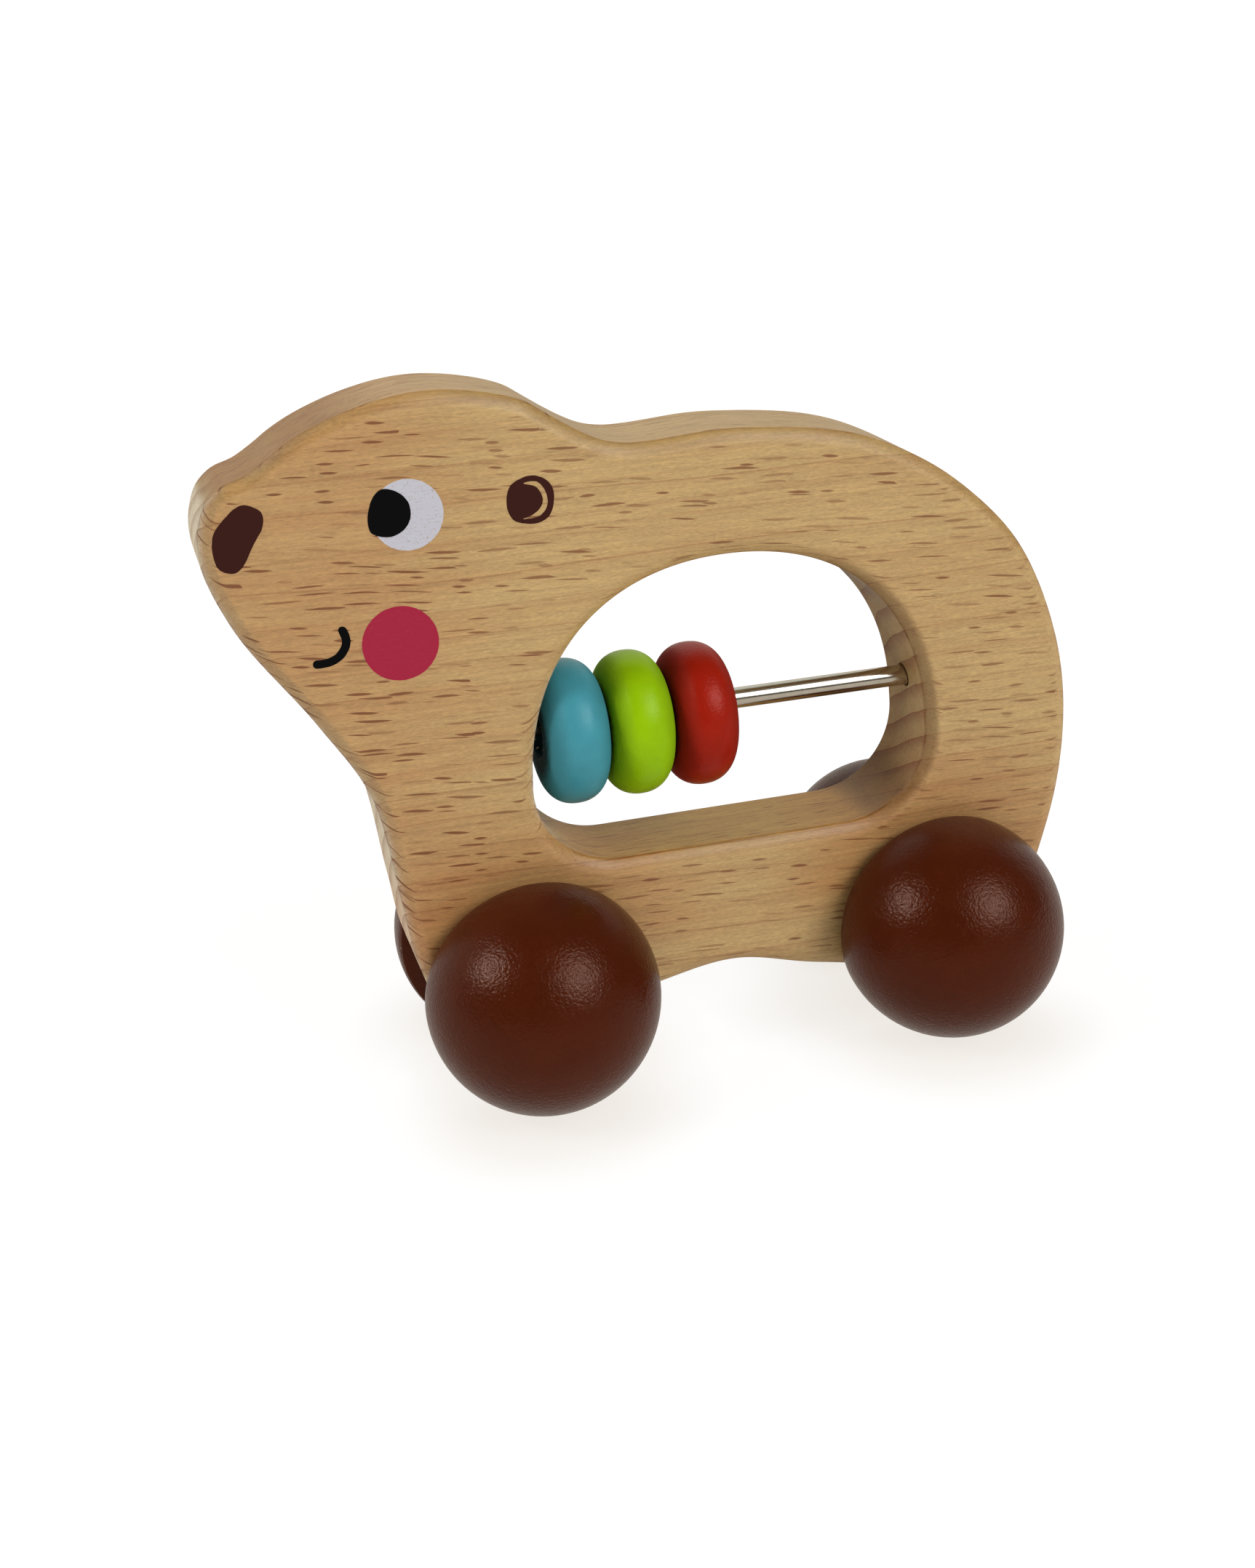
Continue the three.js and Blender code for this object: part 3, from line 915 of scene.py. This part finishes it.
def edge_profile():
    """From the flat side to the rim, as (inset, y): a rounded slope, then a sanded crease."""
    points = []
    for step in range(EDGE_STEPS + 1):
        share = (1 - CREASE_SOFT / EDGE_WIDTH) * step / EDGE_STEPS
        points.append((EDGE_WIDTH * (1 - share), EDGE_DEPTH * share ** EDGE_FULLNESS - SLAB_HALF))
    crease = EDGE_DEPTH - SLAB_HALF
    bend = (points[-1], (0.0, crease), (0.0, crease + CREASE_SOFT))
    for step in range(1, CREASE_STEPS + 1):
        share = step / CREASE_STEPS
        weights = ((1 - share) ** 2, 2 * share * (1 - share), share ** 2)
        points.append(tuple(sum(w * p[i] for w, p in zip(weights, bend)) for i in range(2)))
    return points


def flat_sides(loops):
    """Triangles of both flat sides, inside the first loop and outside the others.

    Each loop comes with the numbers of its first vertex on the near side and on the far side.
    """
    points, edges, near, far = [], [], [], []
    for loop, near_first, far_first in loops:
        first, count = len(points), len(loop)
        points += [Vector(p) for p in loop]
        edges += [(first + i, first + (i + 1) % count) for i in range(count)]
        near += range(near_first, near_first + count)
        far += range(far_first, far_first + count)
    _, _, triangles, origins, _, _ = delaunay_2d_cdt(points, edges, [], 0, CUT_TOLERANCE)
    border, *holes = (loop for loop, _, _ in loops)
    faces = []
    for triangle in triangles:
        corners = [origins[i][0] for i in triangle]
        middle = sum((points[i] for i in corners), Vector((0, 0))) / 3
        if in_loop(middle, border) and not any(in_loop(middle, hole) for hole in holes):
            faces.append([near[i] for i in corners])
            faces.append([far[i] for i in reversed(corners)])
    return faces


def slab_mesh(name, outline, window, bores):
    """The slab with rounded edges and axle bores, as a closed mesh."""
    edge = edge_profile()
    rounded = edge + [(inset, -y) for inset, y in reversed(edge)]
    plain = [(0.0, -SLAB_HALF), (0.0, SLAB_HALF)]
    walls = [(outline, left_normals(outline), rounded), (window, -left_normals(window), rounded)]
    walls += [(bore, -left_normals(bore), plain) for bore in bores]
    vertices, faces, flat_loops = [], [], []
    for loop, into_wood, rows in walls:
        first, count = len(vertices), len(loop)
        for inset, y in rows:
            vertices += [(p[0], y, p[1]) for p in loop + into_wood * inset]
        for row in range(len(rows) - 1):
            for i in range(count):
                a, b = first + row * count + i, first + row * count + (i + 1) % count
                quad = (a, b, b + count, a + count)
                faces.append(quad[::-1] if loop is outline else quad)
        flat_loops.append((loop + into_wood * rows[0][0], first, first + (len(rows) - 1) * count))
    faces += flat_sides(flat_loops)
    return new_mesh(name, vertices, faces=faces)


def drill(slab, cutters):
    """Cut bores out of the slab, and keep its flat sides flat in the shading."""
    for cutter in cutters:
        cut = slab.modifiers.new("drill", "BOOLEAN")
        cut.object = cutter
        cut.operation = "DIFFERENCE"
        cut.solver = "EXACT"
    settled(slab, slab.name)
    for cutter in cutters:
        bpy.data.objects.remove(cutter)
    slab.data.shade_smooth()
    slab.data.set_sharp_from_angle(angle=SHARP)
    even = slab.modifiers.new("even", "WEIGHTED_NORMAL")
    even.keep_sharp = True
    even.weight = FLAT_WEIGHT
    settled(slab, slab.name)


def lean_to_rump(plug, outline, middle, size):
    """Trim the plug's outer end along the outline, so that it lies flush in the rump."""
    x, z = middle.x / MM, middle.z / MM
    rump = sorted((p for p in outline if p[0] > x and abs(p[1] - z) < size.z / MM), key=lambda p: p[1])
    reach, heights = np.array(rump).T
    outermost = max(np.interp(vertex.co.z / MM, heights, reach) for vertex in plug.data.vertices)
    for vertex in plug.data.vertices:
        if vertex.co.x > middle.x:
            vertex.co.x -= (outermost - np.interp(vertex.co.z / MM, heights, reach)) * MM


# Face print

def make_stamp():
    """Lays a printed shape on the slab. The start mesh is its closed outlines, X along and Y up."""
    inputs = {
        "Outlines": ("Geometry", None),
        "Slab": ("Object", None),
        "Side": ("Float", -1.0),
        "Cuts": ("Int", 0),
        "Seed": ("Float", 0.0),
        "Lift": ("Float", PRINT_LIFT * MM),
        "Finish": ("Material", None),
    }
    tree, given, result = new_group("GeometryNodeTree", "stamp", inputs, {"Film": "Geometry"})
    side = given["Side"]
    curve = wire("GeometryNodeMeshToCurve", {"Mesh": given["Outlines"]})
    fine = wire("GeometryNodeResampleCurve", {"Curve": curve, "Length": PRINT_STEP * MM}, mode="LENGTH")
    position = wire("GeometryNodeInputPosition", tree=tree)
    ragged = wire("ShaderNodeTexNoise", {
        "Vector": position, "W": given["Seed"], "Scale": PRINT_WAVES / MM, "Detail": 1.0,
    }, "Color", noise_dimensions="4D")
    shift = joined(*(swing(wave, PRINT_WOBBLE * MM) for wave in parts(ragged)[:2]))
    rough = wire("GeometryNodeSetPosition", {"Geometry": fine, "Offset": shift})
    flat = wire("GeometryNodeFillCurve", {"Curve": rough})
    cut = wire("GeometryNodeSubdivideMesh", {"Mesh": flat, "Level": given["Cuts"]})

    # From well outside the side, straight in to the wood
    x, y, _ = parts(position)
    start = joined(x, side * (PRINT_START * MM), y)
    outside = wire("GeometryNodeSetPosition", {"Geometry": cut, "Position": start})
    cast = node("GeometryNodeRaycast", {
        "Target Geometry": wire("GeometryNodeObjectInfo", {"Object": given["Slab"]}, "Geometry"),
        "Ray Direction": joined(0.0, side * -1.0, 0.0),
        "Ray Length": 2 * PRINT_START * MM,
    })
    hit, hit_normal = wires(cast, "Hit Position", "Hit Normal")
    kept = node("GeometryNodeCaptureAttribute", {"Geometry": outside})
    kept.capture_items.new("VECTOR", "Wood Normal")
    fill(kept, {"Wood Normal": hit_normal})
    film, normal = wires(kept, "Geometry", "Wood Normal")
    sunk = wire("ShaderNodeVectorMath", {0: normal, "Scale": -PRINT_SINK * MM}, operation="SCALE")
    base = wire("GeometryNodeSetPosition", {"Geometry": film, "Position": hit, "Offset": sunk})
    on_right = calc("GREATER_THAN", side, 0.0)
    outward = wire("GeometryNodeFlipFaces", {"Mesh": base, "Selection": on_right})
    raised = wire("GeometryNodeExtrudeMesh", {
        "Mesh": outward,
        "Offset": normal,
        "Offset Scale": given["Lift"] + PRINT_SINK * MM,
        "Individual": False,
    }, "Mesh")
    both = node("GeometryNodeJoinGeometry", tree=tree)
    for shape in (raised, wire("GeometryNodeFlipFaces", {"Mesh": outward})):
        fill(both, {0: shape})
    fill(result, {"Film": finished(Wire(both.outputs[0]), PRINT_WELD, given["Finish"])})
    return tree


STAMP = make_stamp()


def round_end(centre, start, radius):
    """A half circle clockwise from a direction, without its two ends."""
    turn = math.degrees(math.atan2(start[1], start[0]))
    return arc(centre, radius, turn, turn - 180, CAP_STEPS)[1:-1]


def stroke(points, width):
    """The outline of a line with round ends, drawn through points."""
    marks = np.array(points)
    fine = smooth_loop(np.concatenate([marks, marks[-2:0:-1]]), FACE_STEP)
    fine = fine[:len(fine) // 2 + 1]
    radius = width / 2
    across = left_of(np.gradient(fine, axis=0)) * radius
    end_cap = round_end(fine[-1], across[-1], radius)
    start_cap = round_end(fine[0], -across[0], radius)
    return np.concatenate([fine + across, end_cap, (fine - across)[::-1], start_cap])


def outline_mesh(name, loops):
    vertices, edges = [], []
    for loop in loops:
        first = len(vertices)
        vertices += [(x, z, 0) for x, z in loop]
        edges += [(first + i, first + (i + 1) % len(loop)) for i in range(len(loop))]
    return new_mesh(name, vertices, edges)


def print_face(slab):
    """The bear's face on both sides of the slab, each shape its own film of ink."""
    inks = {name: ink(name + "_ink", colour(*tint), worn) for name, (tint, worn) in INKS.items()}
    drawn = (NOSE, PUPIL, EAR, EAR_GLINT)
    nose, pupil, ear, glint = (smooth_loop(np.array(points), FACE_STEP) for points in drawn)

    # Outlines, ink, cuts that let a film follow the rounded edge, and lift as a share of the usual one
    shapes = {
        "nose": ([nose], "brown", 3, 1.0),
        "eye_white": ([ring(EYE_CENTRE, EYE_RADIUS, FACE_SIDES)], "white", 0, 0.6),
        "pupil": ([pupil], "black", 0, 1.6),
        "ear": ([ear, glint], "brown", 0, 1.0),
        "mouth": ([stroke(MOUTH, MOUTH_WIDTH)], "black", 0, 1.0),
        "cheek": ([ring(CHEEK_CENTRE, CHEEK_RADIUS, FACE_SIDES)], "pink", 0, 1.0),
    }
    for side_name, side in (("left", -1.0), ("right", 1.0)):
        for seed, (name, (loops, ink_name, cuts, lift)) in enumerate(shapes.items()):
            film_name = f"{side_name}_{name}_print"
            film = grown(film_name, outline_mesh(film_name, loops), STAMP, {
                "Slab": slab,
                "Side": side,
                "Cuts": cuts,
                "Seed": seed + side,
                "Lift": lift * PRINT_LIFT * MM,
                "Finish": inks[ink_name],
            })
            film.data.set_sharp_from_angle(angle=SHARP)
            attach(film, "bear")


# Assembly

def middle_of(name):
    """The middle and the size of a CAD piece's box, in metres."""
    low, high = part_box(name)
    return (low + high) / 2, high - low


def stand_in_for(piece, name, body):
    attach(piece, body)
    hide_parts(name)


outline, window = (smooth_loop(loop, LOOP_STEP) for loop in rim_loops(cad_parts["body"]))
axle_places = [middle_of(end + "_axle")[0] for end in ("front", "rear")]
bores = [ring((place.x / MM, place.z / MM), BORE_RADIUS, BORE_SIDES) for place in axle_places]
slab_beech = beech("slab_beech", (math.radians(RING_TILT), 0, 0), axle_places)
slab = new_object("bear_slab", slab_mesh("bear_slab", outline, window, bores))
slab.data.materials.append(slab_beech)

# Rod, plug and their bores
plug_beech = beech("plug_beech", (math.radians(PLUG_RING_TILT), 0, 0))
axle_beech = beech("axle_beech", (0, 0, math.radians(-90)))
rod_middle, rod_size = middle_of("bead_rod")
plug_middle, plug_size = middle_of("rod_plug")
rod_radius, rod_length = rod_size.y / 2 / MM, rod_size.x / MM
plug_radius, plug_length = plug_size.y / 2 / MM, plug_size.x / MM
rod_hole = pin_profile(rod_radius + ROD_FIT, rod_length + 4 * ROD_FIT)
rod_bore = turned("rod_bore", rod_hole, PIN_SIDES, slab_beech, X, rod_middle)
plug_hole = pin_profile(plug_radius + ROD_FIT, 2 * plug_length)
plug_hole_middle = plug_middle + X * (plug_length / 2 - ROD_FIT) * MM
plug_bore = turned("plug_bore", plug_hole, PIN_SIDES, slab_beech, X, plug_hole_middle)
drill(slab, [rod_bore, plug_bore])
stand_in_for(slab, "body", "bear")
print_face(slab)

rod = turned("nickel_rod", pin_profile(rod_radius, rod_length), PIN_SIDES, nickel("nickel"), X, rod_middle)
stand_in_for(rod, "bead_rod", "bear")
plug = turned("rump_plug", pin_profile(plug_radius, plug_length), PIN_SIDES, plug_beech, X, plug_middle)
lean_to_rump(plug, outline, plug_middle, plug_size)
stand_in_for(plug, "rod_plug", "bear")

# Wheelsets
brown_lacquer = lacquer("brown_lacquer", BROWN_PAINT, **BALL_LACQUER)
for end in ("front", "rear"):
    wheelset = end + "_wheelset"
    axle_middle, axle_size = middle_of(end + "_axle")
    axle_radius = axle_size.x / 2 / MM
    dowel = pin_profile(axle_radius, axle_size.y / MM)
    axle = turned(end + "_axle_dowel", dowel, PIN_SIDES, axle_beech, Y, axle_middle)
    stand_in_for(axle, end + "_axle", wheelset)
    for side, inward in (("left", Y), ("right", -Y)):
        name = f"{end}_{side}_wheel"
        low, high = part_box(name)
        pole = low.y if side == "left" else high.y
        centre = Vector((axle_middle.x, pole, axle_middle.z)) + inward * BALL_RADIUS * MM
        profile = ball_profile(axle_radius)
        ball = turned(f"{end}_{side}_ball", profile, BALL_SIDES, brown_lacquer, inward, centre)
        stand_in_for(ball, name, wheelset)

# Beads
for name, paint in BEAD_PAINTS.items():
    bead_middle, bead_size = middle_of(name)
    bead_form = (bead_middle, bead_size.x / MM)
    finish = lacquer(name + "_lacquer", paint, **BEAD_LACQUER, bead=bead_form)
    profile = bead_profile(bead_size.z / 2 / MM, bead_size.x / 2 / MM)
    bead = turned("turned_" + name, profile, BEAD_SIDES, finish, X, bead_middle)
    stand_in_for(bead, name, name)


# Camera, light and floor

def add_camera():
    data = bpy.data.cameras.new("camera")
    data.sensor_fit = "AUTO"
    data.sensor_width = SENSOR
    data.lens = FOCAL_LENGTH * SENSOR / IMAGE_HEIGHT
    data.shift_y = -AXIS_ABOVE_CENTRE / IMAGE_HEIGHT
    data.clip_start, data.clip_end = CAMERA_CLIP
    camera = new_object("camera", data)
    camera.location = Vector(CAMERA_PLACE) * MM
    camera.rotation_euler = [math.radians(angle) for angle in CAMERA_TURN]
    bpy.context.scene.camera = camera


def add_panels():
    """Square area lights that fade from the middle to the edge."""
    target = Vector(TOY_MIDDLE) * MM
    for name, (direction, distance, width, power, tint) in PANELS.items():
        data = bpy.data.lights.new(name, "AREA")
        data.shape = "SQUARE"
        data.size = width
        data.energy = power
        data.color = tint
        tree = tree_of(data)
        ends = {0: wire("ShaderNodeNewGeometry", output="Parametric", tree=tree), 1: (0.5, 0.5, 0.0)}
        off_middle = wire("ShaderNodeVectorMath", ends, "Value", operation="DISTANCE")
        fill(tree.nodes["Emission"], {"Strength": step_up(off_middle, 0.0, 0.5, PANEL_PEAK, 0.0)})
        panel = new_object(name, data)
        away = Vector(direction).normalized()
        panel.location = target + away * distance
        panel.rotation_euler = away.to_track_quat("Z", "Y").to_euler()
        panel.visible_camera = False


def light_paths(tree):
    """1 for what the camera sees, what gloss shows, and for both and glass together."""
    path = node("ShaderNodeLightPath", tree=tree)
    camera, gloss, glass = wires(path, "Is Camera Ray", "Is Glossy Ray", "Is Transmission Ray")
    return camera, gloss, calc("MINIMUM", camera + gloss + glass, 1.0)


def add_world():
    """White where it is seen, a pale backdrop in a dark room in reflections, an even light on the toy."""
    world = bpy.data.worlds.new("studio")
    bpy.context.scene.world = world
    tree = tree_of(world)
    camera_ray, gloss_ray, seen = light_paths(tree)
    _, back, up = parts(wire("ShaderNodeTexCoord", output="Generated", tree=tree))
    backdrop = step_up(back, *BACKDROP_FRONT) * step_up(up, *BACKDROP_TOP, BACKDROP, 0.0)
    shown = calc("MAXIMUM", calc("MAXIMUM", backdrop, DARK_ROOM), camera_ray)
    fill(tree.nodes["Background"], {
        "Color": blend(gloss_ray, (1, 1, 1, 1), GLOSS_TINT),
        "Strength": seen * shown + (1.0 - seen) * AMBIENT,
    })


def add_floor():
    """White floor: it bounces light as paper does, and shows a faint shadow."""
    half = FLOOR_SIZE / 2
    corners = [(-half, -half, 0), (half, -half, 0), (half, half, 0), (-half, half, 0)]
    mesh = new_mesh("floor", corners, faces=[(0, 1, 2, 3)])
    material = bpy.data.materials.new("white_floor")
    tree = tree_of(material)
    tree.nodes.remove(tree.nodes["Principled BSDF"])
    _, gloss_ray, seen = light_paths(tree)

    # What lights the toy
    paper = wire("ShaderNodeBsdfDiffuse", {"Color": FLOOR_BOUNCE}, tree=tree)
    lift = wire("ShaderNodeEmission", {"Color": FLOOR_BOUNCE, "Strength": FLOOR_LIFT}, tree=tree)
    bright_paper = wire("ShaderNodeAddShader", {0: paper, 1: lift})

    # What the camera and gloss see
    grey = (FLOOR_SHADE, FLOOR_SHADE, FLOOR_SHADE, 1)
    shade = wire("ShaderNodeBsdfDiffuse", {"Color": grey}, tree=tree)
    spot = wire("ShaderNodeTexCoord", output="Object", tree=tree)
    distance = wire("ShaderNodeVectorMath", {0: spot}, "Value", operation="LENGTH")
    brightness = step_up(distance, *(reach * MM for reach in FLOOR_GLOW_REACH), *FLOOR_GLOW)
    brightness *= between(gloss_ray, 1.0, FLOOR_GLOSS)
    near = {"Distance": CONTACT_REACH * MM}
    sky = wire("ShaderNodeAmbientOcclusion", near, "AO", tree, samples=CONTACT_SAMPLES)
    tint = blend(step_up(sky, *CONTACT_SKY), CONTACT_SHADOW_TINT, FLOOR_TINT)
    tint = blend(gloss_ray, tint, GLOSS_TINT)
    glow = wire("ShaderNodeEmission", {"Color": tint, "Strength": brightness})
    shown = wire("ShaderNodeAddShader", {0: shade, 1: glow})
    mixed = wire("ShaderNodeMixShader", {0: seen, 1: bright_paper, 2: shown})
    fill(tree.nodes["Material Output"], {"Surface": mixed})
    mesh.materials.append(material)
    new_object("floor", mesh)


add_camera()
add_panels()
add_world()
add_floor()
bpy.context.scene.view_settings.view_transform = "Standard"
